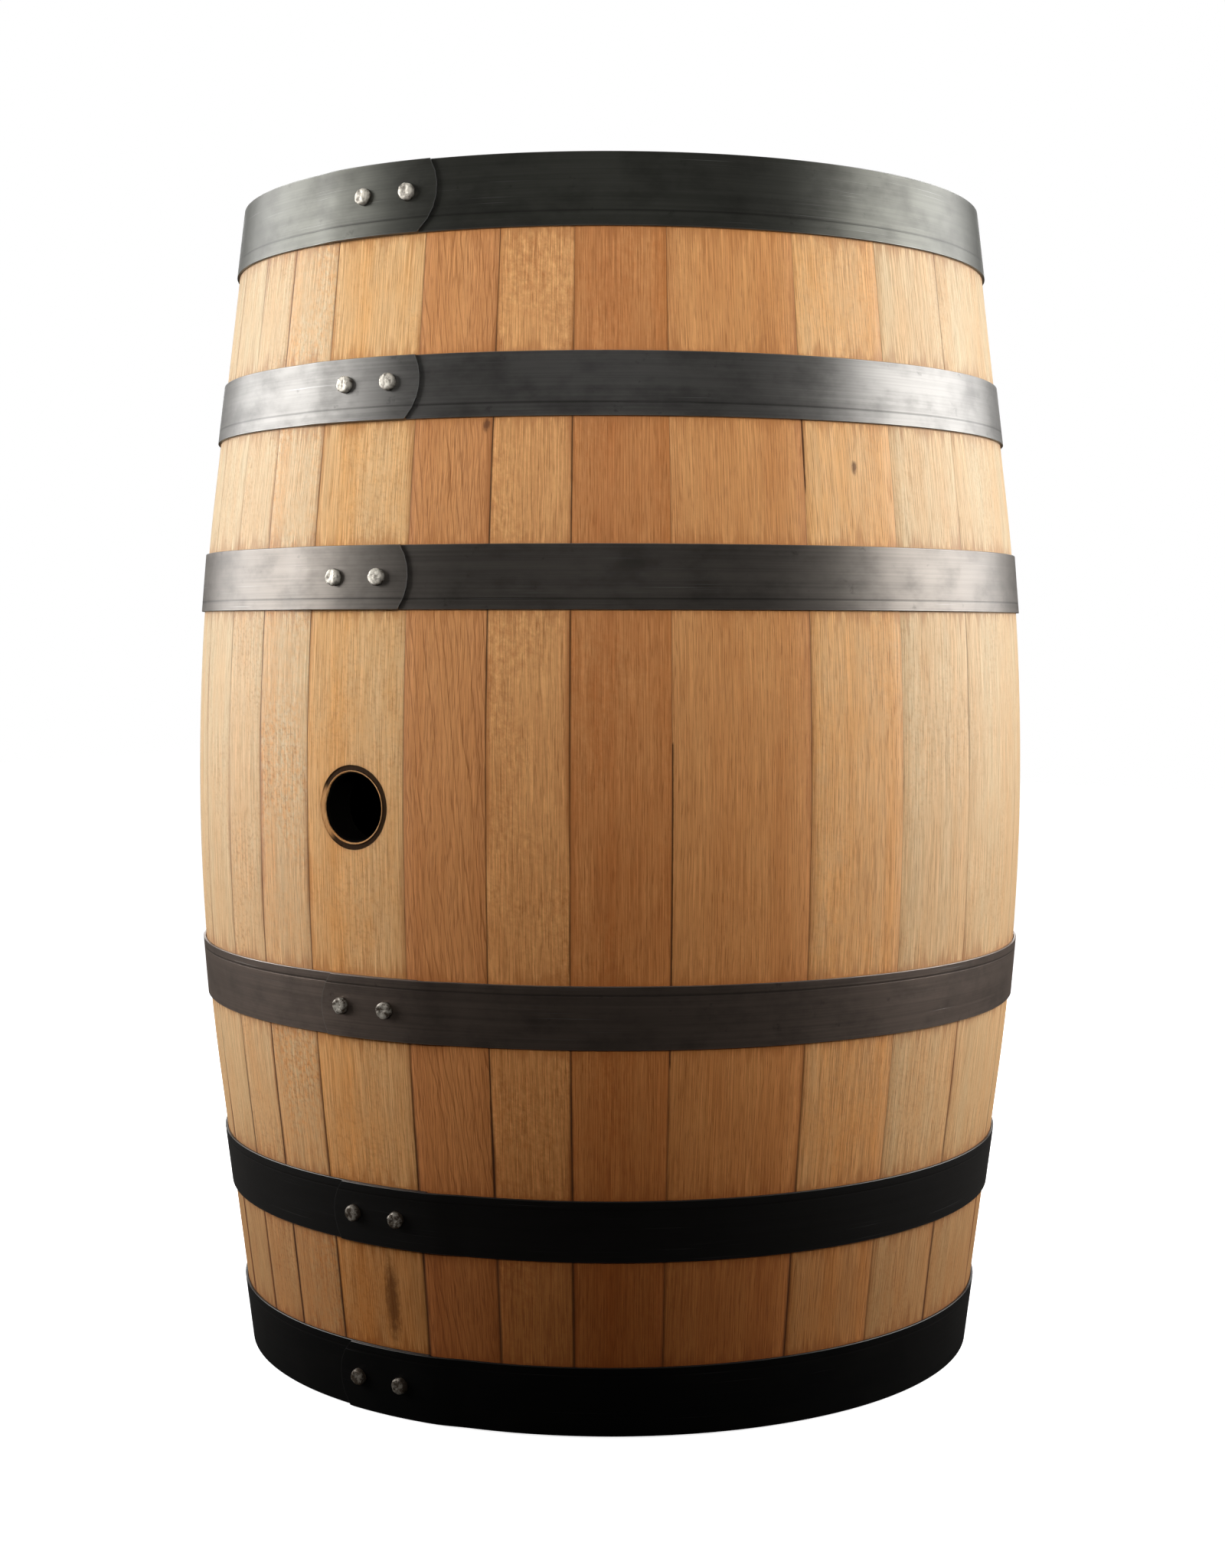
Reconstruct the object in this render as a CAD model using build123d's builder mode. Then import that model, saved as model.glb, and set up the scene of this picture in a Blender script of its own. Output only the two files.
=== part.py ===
from build123d import *
from collections import namedtuple
from math import acos, asin, atan2, copysign, cos, degrees, hypot, pi, radians, sin, sqrt, tan
import os

# A 225 litre oak wine barrel, standing on its bottom rim. Millimetres.
# The origin is the centre of the bottom rim, +Z is up and the bung hole faces -Y.
# Angles are degrees about +Z, counted from the bung hole (-Y) towards +X.

# Barrel outline: one arc over the belly, and straight tangents from its knees to both ends
length = 950.0
mid = length / 2
bilge_r = 350.0
end_r = 306.5
belly_arc = 1975.0

# Staves, with their widths at the belly, going round from the bung stave
stave_t = 27.0
bung_stave_w = 92.0
stave_widths = [
    66, 62, 74, 108, 86, 85, 110, 62, 88, 71, 54, 96, 68, 77, 59,
    83, 64, 73, 92, 57, 66, 81, 58, 74, 69, 52, 63, 54, 60,
]
end_chamfer = 2.0
chime_bevel_depth = 12.0
chime_bevel_height = 24.0
bung_hole_r = 25.0
bung_height = 472.0

# Groove near each end of the staves, which holds the head
croze_height = 44.5
croze_w = 6.0
croze_depth = 6.0

# Heads: boards laid side by side, pinned with dowels, with rush pressed between them
head_t = 22.0
head_bevel = 16.0
head_side_play = 0.2
head_rim_play = 0.3
tongue_start_play = 0.6
board_widths = [89, 104, 98, 92, 110, 89]
rush_t = 1.2
dowel_r = 4.0
dowel_length = 44.0
dowel_spacing = 220.0
dowel_play = 0.1

# Hoops: a strip closed into a cone, its ends lapped and riveted over the bung stave
hoop_t = 2.0
hoop_play = 0.1
lap_tail = 46.0
lap_ramp = 6.0
tip_arc = 40.0
rivet_spacing = 40.5
rivet_shank_r = 3.0
rivet_hole_play = 0.05
rivet_head_r = 6.3
rivet_head_h = 4.8
rivet_head_round = 1.6

# height: the strip's middle; side: +1 if the lap's outer end points to +X; reach: from the
# last rivet to the tip; tip_rise, rivet_rise: above the strip's middle; shift: of both rivets
Hoop = namedtuple("Hoop", "height width side reach tip_rise rivet_rise shift")
hoops = {
    "top_chime": Hoop(922.0, 54.5, 1, 24.5, 4.0, 3.0, 5.0),
    "top_quarter": Hoop(781.0, 47.5, 1, 26.0, 4.0, 4.0, 0.5),
    "top_bilge": Hoop(642.0, 47.5, 1, 25.5, 0.0, 0.0, 2.0),
    "bottom_bilge": Hoop(323.0, 47.5, -1, 21.0, -4.0, 0.0, 8.0),
    "bottom_quarter": Hoop(161.5, 47.5, -1, 21.0, -4.0, 0.0, 4.0),
    "bottom_chime": Hoop(28.5, 54.5, -1, 21.0, -4.0, 0.0, -5.0),
}

# Belly arc's centre, and the knees where the straight ends leave it
belly_centre = bilge_r - belly_arc
end_reach = end_r - belly_centre
knee_tilt = atan2(mid, end_reach) - acos(belly_arc / hypot(mid, end_reach))
knee_rise = belly_arc * sin(knee_tilt)
knee_r = belly_centre + belly_arc * cos(knee_tilt)

wall_slope = tan(knee_tilt)

# Head rim, from the croze
croze_mouth_r = end_r - stave_t + wall_slope * croze_height
head_r = croze_mouth_r + croze_depth - head_rim_play
tongue_r = croze_mouth_r - tongue_start_play
tongue_half_t = croze_w / 2 - head_side_play


def wall_radius(height):
    """Outside radius of the staves at a height."""
    rise = abs(height - mid)
    if rise <= knee_rise:
        return belly_centre + sqrt(belly_arc**2 - rise**2)
    return knee_r - (rise - knee_rise) * wall_slope


def wall_tilt(height):
    """Tilt, in degrees, of the staves' outward normal above the horizontal."""
    rise = min(abs(height - mid), knee_rise)
    return copysign(degrees(asin(rise / belly_arc)), height - mid)


def meridian(angle):
    """Upright plane through the barrel's axis: x is the radius and y the height."""
    s, c = sin(radians(angle)), cos(radians(angle))
    return Plane(origin=(0, 0, 0), x_dir=(s, -c, 0), z_dir=(-c, -s, 0))


# Staves


def wall_line(depth):
    """The wall's outline, a depth inside its outer face, from the bottom end to the top."""
    low_knee = (knee_r - depth, mid - knee_rise)
    high_knee = (knee_r - depth, mid + knee_rise)
    Line((end_r - depth, 0), low_knee)
    ThreePointArc(low_knee, (bilge_r - depth, mid), high_knee)
    Line(high_knee, (end_r - depth, length))


def stave_outline():
    """Lengthwise section of every stave: x is the radius and y the height."""
    inner_end_r = end_r - stave_t
    bevel_top_r = inner_end_r + wall_slope * chime_bevel_height
    clear_r = inner_end_r - stave_t
    with BuildSketch() as outline:
        with BuildLine():
            wall_line(0)
            Line((end_r, length), (inner_end_r, length))
            wall_line(stave_t)
            Line((end_r, 0), (inner_end_r, 0))
        make_face()
        for end, inwards in ((0, 1), (length, -1)):
            chamfer(outline.vertices().sort_by_distance((end_r, end))[0], end_chamfer)
            with BuildLine():
                Polyline(
                    (inner_end_r + chime_bevel_depth, end),
                    (bevel_top_r, end + inwards * chime_bevel_height),
                    (clear_r, end + inwards * chime_bevel_height),
                    (clear_r, end),
                    close=True,
                )
            make_face(mode=Mode.SUBTRACT)
            with Locations((croze_mouth_r + croze_depth, end + inwards * croze_height)):
                Rectangle(
                    2 * croze_depth,
                    croze_w,
                    align=(Align.MAX, Align.CENTER),
                    mode=Mode.SUBTRACT,
                )
    return outline.sketch


stave_section = stave_outline()
girth = bung_stave_w + sum(stave_widths)
bung_stave_arc = 360 * bung_stave_w / girth

with BuildPart() as bung_stave:
    with BuildSketch(meridian(-bung_stave_arc / 2)):
        add(stave_section)
    revolve(axis=Axis.Z, revolution_arc=bung_stave_arc)
    with Locations(Plane(origin=(0, -bilge_r, bung_height), z_dir=(0, -1, 0))):
        Hole(bung_hole_r)

bung_stave.part.label = "bung_stave"
pieces = [bung_stave.part]

stave_start = bung_stave_arc / 2
for number, width in enumerate(stave_widths, start=1):
    stave_arc = 360 * width / girth
    with BuildPart() as stave:
        with BuildSketch(meridian(stave_start)):
            add(stave_section)
        revolve(axis=Axis.Z, revolution_arc=stave_arc)
    stave.part.label = f"stave_{number:02d}"
    pieces.append(stave.part)
    stave_start += stave_arc


# Heads


def head_disc(height):
    """A whole head: a round board whose bevelled rim enters the croze."""
    profile = [
        (0, -head_t / 2),
        (tongue_r - head_bevel, -head_t / 2),
        (tongue_r, -tongue_half_t),
        (head_r, -tongue_half_t),
    ]
    with BuildPart() as disc:
        with BuildSketch(Plane(origin=(0, 0, height), x_dir=(1, 0, 0), z_dir=(0, -1, 0))):
            with BuildLine():
                Polyline(*profile, *[(r, -h) for r, h in reversed(profile)], close=True)
            make_face()
        revolve(axis=Axis.Z)
    return disc.part


def rods_across(joints, height, radius, rod_length):
    """Rods across the joints between a head's boards, for the dowels and their holes."""
    with BuildPart() as rods:
        for joint in joints:
            with BuildSketch(Plane.XZ.offset(-joint)):
                with Locations((-dowel_spacing / 2, height), (dowel_spacing / 2, height)):
                    Circle(radius)
            extrude(amount=rod_length / 2, both=True)
    return rods.part


for name, height, widths in (
    ("top_head", length - croze_height, board_widths),
    ("bottom_head", croze_height, board_widths[::-1]),
):
    board_edges = [sum(widths[:count]) - sum(widths) / 2 for count in range(len(widths) + 1)]
    joints = board_edges[1:-1]
    disc = head_disc(height)
    holes = rods_across(joints, height, dowel_r + dowel_play, dowel_length + 2 * dowel_play)

    for number, (low, high) in enumerate(zip(board_edges, board_edges[1:]), start=1):
        with BuildPart() as board:
            add(disc)
            with BuildSketch(Plane.XY.offset(height)):
                with Locations((0, (low + high) / 2)):
                    Rectangle(2 * head_r, high - low - rush_t)
            extrude(amount=head_t, both=True, mode=Mode.INTERSECT)
            add(holes, mode=Mode.SUBTRACT)
        board.part.label = f"{name}_board_{number}"
        pieces.append(board.part)

    with BuildPart() as rush:
        add(disc)
        with BuildSketch(Plane.XY.offset(height)):
            with Locations(*[(0, joint) for joint in joints]):
                Rectangle(2 * head_r, rush_t)
        extrude(amount=head_t, both=True, mode=Mode.INTERSECT)
        add(holes, mode=Mode.SUBTRACT)
    rush.part.label = f"{name}_rush_strips"
    pieces.append(rush.part)

    with BuildPart() as dowels:
        add(rods_across(joints, height, dowel_r, dowel_length))
    dowels.part.label = f"{name}_dowels"
    pieces.append(dowels.part)


# Hoops


def strip_centre(hoop, lift):
    """Radius and height of the strip's middle line, lifted off the staves by lift."""
    tilt = radians(wall_tilt(hoop.height))
    out = hoop_play + lift
    return wall_radius(hoop.height) + out * cos(tilt), hoop.height + out * sin(tilt)


def strip_section(hoop, lift):
    """Cross-section of the hoop strip, lying flat on the tilted wall."""
    with Locations(strip_centre(hoop, lift)):
        Rectangle(
            hoop_t,
            hoop.width,
            rotation=wall_tilt(hoop.height),
            align=(Align.MIN, Align.CENTER),
        )


def rivet_plane(hoop, lift, angle):
    """Plane at a rivet: x runs round the barrel, y up the strip and z outwards."""
    tilt = radians(wall_tilt(hoop.height))
    radius, height = strip_centre(hoop, lift)
    radius -= hoop.rivet_rise * sin(tilt)
    height += hoop.rivet_rise * cos(tilt)
    s, c = sin(radians(angle)), cos(radians(angle))
    return Plane(
        origin=(radius * s, -radius * c, height),
        x_dir=(c, s, 0),
        z_dir=(s * cos(tilt), -c * cos(tilt), sin(tilt)),
    )


for name, spec in hoops.items():
    degrees_per_mm = 180 / (pi * wall_radius(spec.height))
    tip = spec.shift + spec.side * (rivet_spacing / 2 + spec.reach)
    lap_start = (spec.shift - spec.side * lap_tail) * degrees_per_mm
    lap_end = tip * degrees_per_mm
    rivet_angles = [
        (spec.shift + place * rivet_spacing / 2) * degrees_per_mm for place in (-1, 1)
    ]
    ring_arc = 360 - lap_ramp
    ring_start = lap_start if spec.side > 0 else lap_start - ring_arc

    # Outer end of the strip, lying on the inner end, with a rounded tip
    with BuildPart() as lap:
        with BuildSketch(meridian(min(lap_start, lap_end))):
            strip_section(spec, hoop_t)
        revolve(axis=Axis.Z, revolution_arc=abs(lap_end - lap_start))
        with BuildSketch(Plane.XZ.offset(end_r / 2)):
            with Locations((tip - spec.side * tip_arc, spec.height + spec.tip_rise)):
                Circle(tip_arc)
                Rectangle(
                    4 * tip_arc,
                    2 * spec.width,
                    align=(Align.MAX if spec.side > 0 else Align.MIN, Align.CENTER),
                )
        extrude(amount=bilge_r, mode=Mode.INTERSECT)

    with BuildPart() as hoop:
        with BuildSketch(meridian(ring_start)):
            strip_section(spec, 0)
        revolve(axis=Axis.Z, revolution_arc=ring_arc)
        with BuildSketch(meridian(lap_start - spec.side * lap_ramp)):
            strip_section(spec, 0)
        with BuildSketch(meridian(lap_start)):
            strip_section(spec, hoop_t)
        loft(ruled=True)
        add(lap.part)
        with Locations([rivet_plane(spec, 3 * hoop_t, angle) for angle in rivet_angles]):
            Hole(rivet_shank_r + rivet_hole_play, depth=4 * hoop_t)
    hoop.part.label = f"{name}_hoop"
    pieces.append(hoop.part)

    with BuildPart() as rivets:
        for angle in rivet_angles:
            with BuildSketch(rivet_plane(spec, 0, angle)):
                Circle(rivet_shank_r)
            extrude(amount=2 * hoop_t)
            with BuildSketch(rivet_plane(spec, 2 * hoop_t, angle)):
                Circle(rivet_head_r)
            extrude(amount=rivet_head_h)
            head_top = rivet_plane(spec, 2 * hoop_t + rivet_head_h, angle)
            on_rim = head_top.from_local_coords((-rivet_head_r, 0, 0))
            fillet(rivets.edges().sort_by_distance(on_rim)[0], radius=rivet_head_round)
    rivets.part.label = f"{name}_rivets"
    pieces.append(rivets.part)


os.makedirs("parts", exist_ok=True)
for piece in pieces:
    export_step(piece, f"parts/{piece.label}.step")
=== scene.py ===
from math import asin, atan2, cos, pi, radians, sin, sqrt
from random import Random

import bmesh
import bpy
from mathutils import Matrix, Vector


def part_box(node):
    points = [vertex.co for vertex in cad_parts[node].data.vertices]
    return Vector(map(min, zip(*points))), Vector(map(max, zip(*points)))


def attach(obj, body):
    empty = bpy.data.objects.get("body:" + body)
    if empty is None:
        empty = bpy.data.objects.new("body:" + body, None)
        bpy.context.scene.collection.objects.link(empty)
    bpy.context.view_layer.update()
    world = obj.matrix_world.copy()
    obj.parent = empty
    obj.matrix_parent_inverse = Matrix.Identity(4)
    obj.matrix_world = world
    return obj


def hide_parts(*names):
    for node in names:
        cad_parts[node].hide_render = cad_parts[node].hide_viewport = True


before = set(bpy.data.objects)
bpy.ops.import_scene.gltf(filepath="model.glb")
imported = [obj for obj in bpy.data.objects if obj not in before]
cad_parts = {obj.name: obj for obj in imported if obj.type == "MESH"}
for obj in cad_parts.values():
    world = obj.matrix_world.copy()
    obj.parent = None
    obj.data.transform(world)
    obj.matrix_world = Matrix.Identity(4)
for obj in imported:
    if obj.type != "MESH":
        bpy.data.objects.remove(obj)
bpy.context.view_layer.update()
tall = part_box("bung_stave")[1].z
scene = bpy.context.scene
scene.view_settings.view_transform = "Standard"


def plug(tree, item, socket):
    if isinstance(item, Field):
        tree.links.new(item.socket, socket)
    elif item is not None:
        socket.default_value = item


def calc(tree, operation, *items):
    node = tree.nodes.new("ShaderNodeMath")
    node.operation = operation
    for item, socket in zip(items, node.inputs):
        plug(tree, item, socket)
    return Field(tree, node.outputs[0])


class Field:
    # one output of a node, which can be added, multiplied and so on
    def __init__(self, tree, socket):
        self.tree, self.socket = tree, socket

    def __add__(self, other):
        return calc(self.tree, "ADD", self, other)

    def __sub__(self, other):
        return calc(self.tree, "SUBTRACT", self, other)

    def __mul__(self, other):
        return calc(self.tree, "MULTIPLY", self, other)

    def __truediv__(self, other):
        return calc(self.tree, "DIVIDE", self, other)

    def __rsub__(self, other):
        return calc(self.tree, "SUBTRACT", other, self)

    __radd__ = __add__
    __rmul__ = __mul__

    def do(self, operation, *others):
        return calc(self.tree, operation, self, *others)

    def ramp(self, low, high, start=0.0, end=1.0, smooth=True):
        # low..high becomes start..end, held at both ends
        node = self.tree.nodes.new("ShaderNodeMapRange")
        node.interpolation_type = "SMOOTHSTEP" if smooth else "LINEAR"
        for item, socket in zip((self, low, high, start, end), node.inputs):
            plug(self.tree, item, socket)
        return Field(self.tree, node.outputs[0])

    def xyz(self):
        node = self.tree.nodes.new("ShaderNodeSeparateXYZ")
        plug(self.tree, self, node.inputs[0])
        return [Field(self.tree, socket) for socket in node.outputs]


def vector(tree, x, y, z):
    node = tree.nodes.new("ShaderNodeCombineXYZ")
    for item, socket in zip((x, y, z), node.inputs):
        plug(tree, item, socket)
    return Field(tree, node.outputs[0])


def noise(tree, place, scale=1.0, detail=2.0, roughness=0.5):
    node = tree.nodes.new("ShaderNodeTexNoise")
    plug(tree, place, node.inputs["Vector"])
    node.inputs["Scale"].default_value = scale
    node.inputs["Detail"].default_value = detail
    node.inputs["Roughness"].default_value = roughness
    return Field(tree, node.outputs[0])


def pattern(tree, place, seed, kind, seeded=0):
    # noise with its own scale on each axis; the seed shifts it along one of them
    *scales, detail, roughness = kind
    parts = [part * scale for part, scale in zip(place, scales)]
    parts[seeded] = parts[seeded] + seed
    return noise(tree, vector(tree, *parts), detail=detail, roughness=roughness)


def blendColours(tree, factor, first, second, mode="MIX"):
    node = tree.nodes.new("ShaderNodeMix")
    node.data_type, node.blend_type = "RGBA", mode
    for item, index in ((factor, 0), (first, 6), (second, 7)):
        if isinstance(item, tuple):
            item = (*item, 1)
        plug(tree, item, node.inputs[index])
    return Field(tree, node.outputs[2])


def newTree(name, kind, inputs, outputs):
    # a node group with named sockets; gives the tree, its inputs by name and its output node
    tree = bpy.data.node_groups.new(name, kind)
    for label, what, value in inputs:
        made = tree.interface.new_socket(label, in_out="INPUT", socket_type="NodeSocket" + what)
        if value is not None:
            made.default_value = value
    for label, what in outputs:
        tree.interface.new_socket(label, in_out="OUTPUT", socket_type="NodeSocket" + what)
    start = tree.nodes.new("NodeGroupInput")
    end = tree.nodes.new("NodeGroupOutput")
    return tree, {s.name: Field(tree, s) for s in start.outputs if s.name}, end


def useGroup(tree, group, values):
    node = tree.nodes.new("ShaderNodeGroup")
    node.node_tree = group
    for label, item in values.items():
        if isinstance(item, tuple) and len(item) == 3 and node.inputs[label].type == "RGBA":
            item = (*item, 1)
        plug(tree, item, node.inputs[label])
    return {s.name: Field(tree, s) for s in node.outputs}


# outline of the staves: one arc over the belly, straight from the knees to both ends
wall = {
    "middle": tall / 2,
    "bellyArc": 1.975,
    "bellyCentre": -1.625,
    "kneeRise": 0.24077,
    "kneeRadius": 0.33527,
    "slope": 0.122824,
    "hoopPlay": 0.0001,
}


def wallRadius(height):
    rise = abs(height - wall["middle"])
    if rise > wall["kneeRise"]:
        return wall["kneeRadius"] - (rise - wall["kneeRise"]) * wall["slope"]
    return wall["bellyCentre"] + sqrt(wall["bellyArc"] ** 2 - rise**2)


def wallTilt(height):
    rise = height - wall["middle"]
    return asin(max(-wall["kneeRise"], min(wall["kneeRise"], rise)) / wall["bellyArc"])


oak = {
    "cream": (0.75, 0.615, 0.400),
    "pale": (0.81, 0.460, 0.192),
    "brown": (0.46, 0.160, 0.040),
    "red": (0.50, 0.185, 0.075),
    "line": (0.25, 0.085, 0.022),
    "stain": (0.36, 0.13, 0.035),
    "fleck": (0.40, 0.17, 0.055),
    "knot": (0.10, 0.035, 0.012),
    "shadow": (0.075, 0.026, 0.009),
    # painted shade: warmer and darker towards the bottom of the barrel, and darker just above the
    # floor
    "paintedFootShade": (0.97, 0.735, 0.53),
    "paintedBottomShade": (0.62, 0.54, 0.46),
    "toast": (0.045, 0.024, 0.014),
    "char": (0.012, 0.009, 0.008),
    "fibreDark": (0.74, 0.66, 0.56),
    "fibreLight": (1.15, 1.13, 1.09),
    "roughness": 0.62,
    "gloss": 0.3,
    "bump": 0.00025,
    "bumpStrength": 0.9,
    # depths between which the toasting fades out into the end grain
    "toastFrom": 0.019,
    "toastFull": 0.029,
    # scale across, through and along the grain, then detail and roughness of the noise
    "patterns": {
        "drift": (7, 7, 1.3, 1, 0.5),
        "wobble": (30, 30, 14, 3, 0.5),
        "shiver": (45, 45, 42, 1, 0.5),
        "broad": (48, 40, 0.8, 2, 0.5),
        "uneven": (60, 60, 2.2, 1, 0.5),
        "breaks": (3.7, 1, 9, 2, 0.5),
        "fibre": (1100, 400, 13, 3, 0.66),
        "pores": (1500, 700, 62, 1, 0.5),
        "patch": (16, 16, 9, 2, 0.5),
        "ray": (1, 120, 300, 3, 0.6),
        "figure": (210, 90, 1, 3, 0.7),
        "cloud": (55, 30, 20, 3, 0.6),
    },
}


def buildOakGroup():
    # planed oak: Place is across, through and along the grain, in metres
    tree, ins, end = newTree(
        "oakGrain",
        "ShaderNodeTree",
        [
            ("Place", "Vector", None),
            ("Seed", "Float", 0.0),
            ("Tone", "Float", 0.4),
            ("Redness", "Float", 0.0),
            ("Wave", "Float", 0.01),
            ("Rings", "Float", 0.3),
            ("Ring Spacing", "Float", 0.0045),
            ("Pores", "Float", 0.4),
            ("Flecks", "Float", 0.2),
            ("Mottle", "Float", 0.0),
        ],
        [("Colour", "Color"), ("Roughness", "Float"), ("Height", "Float")],
    )
    x, y, z = ins["Place"].xyz()
    seed, wave, kinds = ins["Seed"], ins["Wave"], oak["patterns"]
    drift = pattern(tree, (x, y, z), seed, kinds["drift"]) - 0.5
    wobble = pattern(tree, (x, y, z), seed, kinds["wobble"]) - 0.5
    shiver = pattern(tree, (x, y, z), seed, kinds["shiver"]) - 0.5
    bent = x + drift * wave + wobble * wave * 0.22 + shiver * wave * 0.07
    broad = pattern(tree, (bent, y, z), seed, kinds["broad"])
    # growth rings: each line starts sharply, fades across, and breaks off in its own places
    uneven = pattern(tree, (x, y, z), seed, kinds["uneven"]) * 2.2
    phase = (bent + y * 0.7 + z * wave * 4) / ins["Ring Spacing"] + uneven
    breaks = pattern(tree, (phase.do("FLOOR"), 0.0, z), seed, kinds["breaks"], seeded=1)
    ringLine = phase.do("FRACT").ramp(0.0, 0.28, 1.0, 0.0) * breaks.ramp(0.36, 0.6, 0.1, 1.0)
    fibre = pattern(tree, (bent, y, z), seed, kinds["fibre"])
    pores = pattern(tree, (bent, y, z), seed, kinds["pores"], seeded=1).ramp(0.55, 0.70)
    # flecks and figure come in patches
    patch = pattern(tree, (x, y, z), seed, kinds["patch"], seeded=1).ramp(0.42, 0.62)
    ray = pattern(tree, (x * 300 + z * 60, y, z), seed, kinds["ray"], seeded=1)
    fleck = ray.ramp(0.47, 0.70) * (patch * 0.75 + 0.25) * ins["Flecks"]
    figure = pattern(tree, (x, y, z * 150 + x * 50), seed, kinds["figure"])
    curl = (figure - 0.5) * ins["Mottle"] * (patch + 0.35)
    cloud = pattern(tree, (x, y, z), seed, kinds["cloud"])

    tone = ins["Tone"] + (broad - 0.5) * 0.34 + (cloud - 0.5) * 0.26 + curl
    body = blendColours(tree, tone.ramp(0.0, 0.4, smooth=False), oak["cream"], oak["pale"])
    body = blendColours(tree, tone.ramp(0.4, 1.0, smooth=False), body, oak["brown"])
    reddish = blendColours(tree, 0.5, body, oak["red"])
    body = blendColours(tree, ins["Redness"], body, reddish)
    body = blendColours(tree, ringLine * ins["Rings"], body, oak["line"])
    body = blendColours(tree, pores * ins["Pores"], body, oak["line"])
    body = blendColours(tree, fleck, body, oak["fleck"])
    thread = blendColours(tree, fibre.ramp(0.3, 0.7), oak["fibreDark"], oak["fibreLight"])
    body = blendColours(tree, 1.0, body, thread, "MULTIPLY")
    dark = ringLine * 0.25 + pores * 0.5 + fibre * 0.4
    plug(tree, body, end.inputs["Colour"])
    plug(tree, dark * 0.18 + (oak["roughness"] - 0.09), end.inputs["Roughness"])
    plug(tree, 1.0 - dark * 0.7, end.inputs["Height"])
    return tree


# as oak's patterns
stainPatterns = {
    "ragged": (20, 20, 26, 4, 0.7),
    "patchy": (5, 5, 5.5, 2, 0.5),
    "drips": (170, 170, 7, 3, 0.65),
    "openness": (2, 1, 6, 3, 0.5),
    "smudge": (240, 1, 160, 4, 0.7),
}


def buildStainAndShadeGroup(bands):
    # rust and damp near the joints, rust with painted shade beside each hoop, and painted shade
    # towards the bottom; Gap is the distance to the nearest joint
    tree, ins, end = newTree(
        "coopersStainAndShade",
        "ShaderNodeTree",
        [
            ("Colour", "Color", (1, 1, 1, 1)),
            ("Place", "Vector", None),
            ("Gap", "Float", 1.0),
            ("Seed", "Float", 0.0),
            ("Left Joint", "Float", usualJoint),
            ("Right Joint", "Float", usualJoint),
            ("Crack Low", "Float", -1.0),
            ("Crack High", "Float", -1.0),
            ("Mark Place", "Vector", (0, 0, -1)),
            ("Mark Size", "Vector", (0.004, 1, 0.005)),
            ("Mark Strength", "Float", 0.0),
        ],
        [("Colour", "Color")],
    )
    x, y, z = ins["Place"].xyz()
    seed, gap, kinds = ins["Seed"], ins["Gap"], stainPatterns
    ragged = pattern(tree, (x, y, z), seed, kinds["ragged"])
    patchy = pattern(tree, (x, y, z), seed, kinds["patchy"]).ramp(0.4, 0.66)
    reach = ragged * 0.006 * (patchy + 0.3)
    onRight = x.do("GREATER_THAN", 0.0)
    joint = ins["Left Joint"] * (1 - onRight) + ins["Right Joint"] * onRight
    # joints stand open and dirty low down
    low = z.ramp(0.14, 0.38, 0.75, 0.0)
    strength = (joint * (low * 1.5 + 1)).do("MINIMUM", 1.1)
    seep = gap.ramp(0.0, reach * 1.5 + 0.0004, 1.0, 0.0)
    seep = seep * (patchy * 0.8 + 0.2) * (strength + 0.1)
    # distance to the nearest hoop's edge
    nearest = None
    for height, half in bands:
        distance = (z - height).do("ABSOLUTE") - half
        nearest = distance if nearest is None else nearest.do("MINIMUM", distance)
    # beside each hoop the wood takes rust stain and painted shade, both drawn in the stain colour
    drips = pattern(tree, (x, y, z), seed, kinds["drips"]).ramp(0.40, 0.72)
    hoopRustAndShade = nearest.ramp(0.0, drips * 0.03 + 0.0015, 0.85, 0.0)
    openness = pattern(tree, (x.do("SIGN"), 4.0, z), seed, kinds["openness"])
    openness = openness.ramp(0.36, 0.56, 0.1, 1.0).do("MAXIMUM", low)
    # a split follows the left joint between two heights
    crackLow, crackHigh = ins["Crack Low"], ins["Crack High"]
    within = z.ramp(crackLow, crackLow + 0.01) * z.ramp(crackHigh - 0.004, crackHigh, 1.0, 0.0)
    crack = gap.ramp(ragged * 0.0012 + 0.0001, ragged * 0.0022 + 0.0005, 1.0, 0.0)
    crack = within * x.do("LESS_THAN", 0.0) * crack
    line = gap.ramp(0.0001, ragged * (low * 0.003 + 0.0014) + 0.0004, 1.0, 0.0)
    line = (strength * line * openness).do("MAXIMUM", crack)
    # one knot, tick or smear on the piece
    spot, size = ins["Mark Place"].xyz(), ins["Mark Size"].xyz()
    sideways, upward = (x - spot[0]) / size[0], (z - spot[2]) / size[2]
    ragEdge = (pattern(tree, (x, 0.0, z), seed, kinds["smudge"]) - 0.5) * 1.3
    blot = ((sideways * sideways + upward * upward).do("SQRT") + ragEdge).ramp(0.3, 1.1, 1.0, 0.0)
    seen = blendColours(tree, seep * 0.8, ins["Colour"], oak["stain"])
    seen = blendColours(tree, hoopRustAndShade * 0.55, seen, oak["stain"])
    seen = blendColours(tree, blot * ins["Mark Strength"], seen, oak["knot"])
    # painted shade: the wood is drawn warmer and darker towards the bottom of the barrel, and
    # darker still just above the floor, where the light falls off
    paintedFootShade = z.ramp(0.05, 0.62, 1.0, 0.0, smooth=False)
    seen = blendColours(tree, paintedFootShade, seen, oak["paintedFootShade"], "MULTIPLY")
    seen = blendColours(tree, z.ramp(0.10, 0.24, 0.75, 0.0), seen, oak["paintedBottomShade"], "MULTIPLY")
    seen = blendColours(tree, line * 0.95, seen, oak["shadow"])
    plug(tree, seen, end.inputs["Colour"])
    return tree


def setFinish(tree, shader, colour, rough):
    plug(tree, colour, shader.inputs["Base Color"])
    plug(tree, rough, shader.inputs["Roughness"])


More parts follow.
